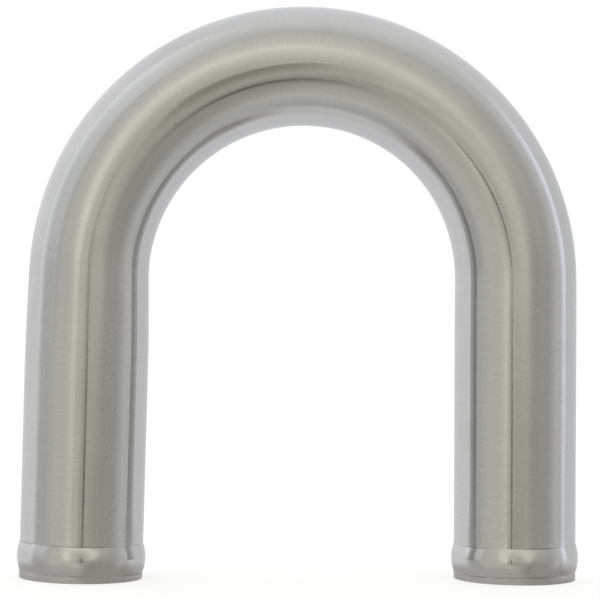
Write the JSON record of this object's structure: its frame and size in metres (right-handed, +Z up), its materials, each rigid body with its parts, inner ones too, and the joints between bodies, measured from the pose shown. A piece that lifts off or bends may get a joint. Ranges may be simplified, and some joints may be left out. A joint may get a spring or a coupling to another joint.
{
  "type": "return bend",
  "caption": "Round metal tube bent back on itself in a half turn, with a hose bead rolled near each open end, to turn a flow round between side-by-side hoses.",
  "frame": {"origin": "on the base plane, midway between the two open ends that the part stands on", "axes": "+Z up, from the open ends to the crown of the bend; +X from one leg to the other; -Y toward the viewer, square to the plane of the bend"},
  "size_m": [0.234, 0.053, 0.2375],
  "materials": {
    "satin_tube": "fine satin polish with faint hairlines running round the tube"
  },
  "bodies": {
    "root": {"bent_tube": "satin_tube"}
  },
  "joints": []
}
